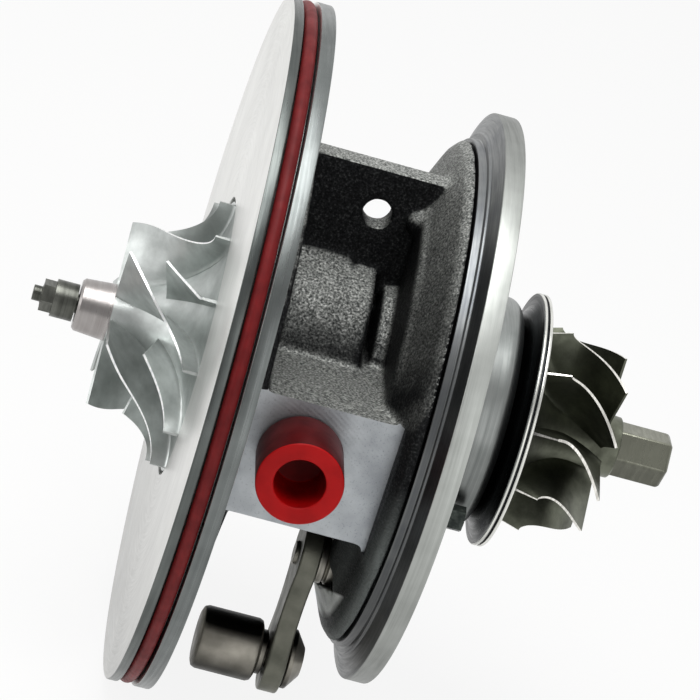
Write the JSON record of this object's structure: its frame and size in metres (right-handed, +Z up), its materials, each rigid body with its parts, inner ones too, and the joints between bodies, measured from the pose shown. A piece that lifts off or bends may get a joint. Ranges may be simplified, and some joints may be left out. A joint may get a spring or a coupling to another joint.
{
  "type": "turbo cartridge",
  "caption": "Turbocharger core: bearing housing with compressor and turbine wheels on one shaft, back plate, heat shield and vane lever.",
  "frame": {"origin": "on the shaft axis, in the face of the turbine flange", "axes": "+X along the shaft towards the turbine, -Y out of the oil inlet, +Z up the web"},
  "size_m": [0.1091, 0.116, 0.116],
  "materials": {
    "cast_iron": "sand cast, rough, with machined faces",
    "turned_aluminium": "fine turned",
    "cast_aluminium": "investment cast, satin",
    "nickel_alloy": "investment cast, dark satin",
    "ground_steel": "ground",
    "blackened_steel": "blackened",
    "forged_steel": "forged and oiled",
    "stainless_sheet": "pressed sheet",
    "bearing_bronze": "machined",
    "red_silicone": "satin silicone",
    "black_rubber": "matt",
    "red_plastic": "soft moulded"
  },
  "bodies": {
    "housing": {"bearing_housing": "cast_iron", "backplate": "turned_aluminium", "backplate_screw_1": "blackened_steel", "backplate_screw_2": "blackened_steel", "backplate_screw_3": "blackened_steel", "backplate_seal_ring": "red_silicone", "housing_seal_ring": "black_rubber", "thrust_bearing": "bearing_bronze", "oil_deflector": "stainless_sheet", "compressor_piston_ring": "blackened_steel", "turbine_piston_ring": "blackened_steel", "bearing_circlip_1": "blackened_steel", "bearing_circlip_2": "blackened_steel", "bearing_circlip_3": "blackened_steel", "heat_shield": "stainless_sheet", "spindle_bush": "blackened_steel"},
    "rotor": {"turbine_wheel": "nickel_alloy", "rotor_shaft": "ground_steel", "compressor_wheel": "cast_aluminium", "thrust_collar": "ground_steel", "oil_flinger": "ground_steel", "shaft_nut": "blackened_steel"},
    "floating_bearing_compressor": {"journal_bearing_compressor": "bearing_bronze"},
    "floating_bearing_turbine": {"journal_bearing_turbine": "bearing_bronze"},
    "lever": {"lever_arm": "forged_steel", "lever_spindle": "ground_steel", "lever_pin": "forged_steel", "inner_crank": "blackened_steel"},
    "inlet_plug": {"oil_inlet_plug": "red_plastic"}
  },
  "joints": [
    {"name": "rotor_spin", "type": "hinge", "parent": "housing", "child": "rotor", "pos_m": [0, 0, 0], "axis": [1, 0, 0], "continuous": true},
    {"name": "compressor_bearing_spin", "type": "hinge", "parent": "housing", "child": "floating_bearing_compressor", "pos_m": [-0.0218, 0, 0], "axis": [1, 0, 0], "continuous": true},
    {"name": "turbine_bearing_spin", "type": "hinge", "parent": "housing", "child": "floating_bearing_turbine", "pos_m": [-0.0052, 0, 0], "axis": [1, 0, 0], "continuous": true},
    {"name": "lever_turn", "type": "hinge", "parent": "housing", "child": "lever", "pos_m": [-0.0163, -0.016, -0.0259], "axis": [1, 0, 0], "range_deg": [0, 40]},
    {"name": "plug_pull", "type": "slide", "parent": "housing", "child": "inlet_plug", "axis": [0, -1, 0], "range_m": [0, 0.025]}
  ]
}
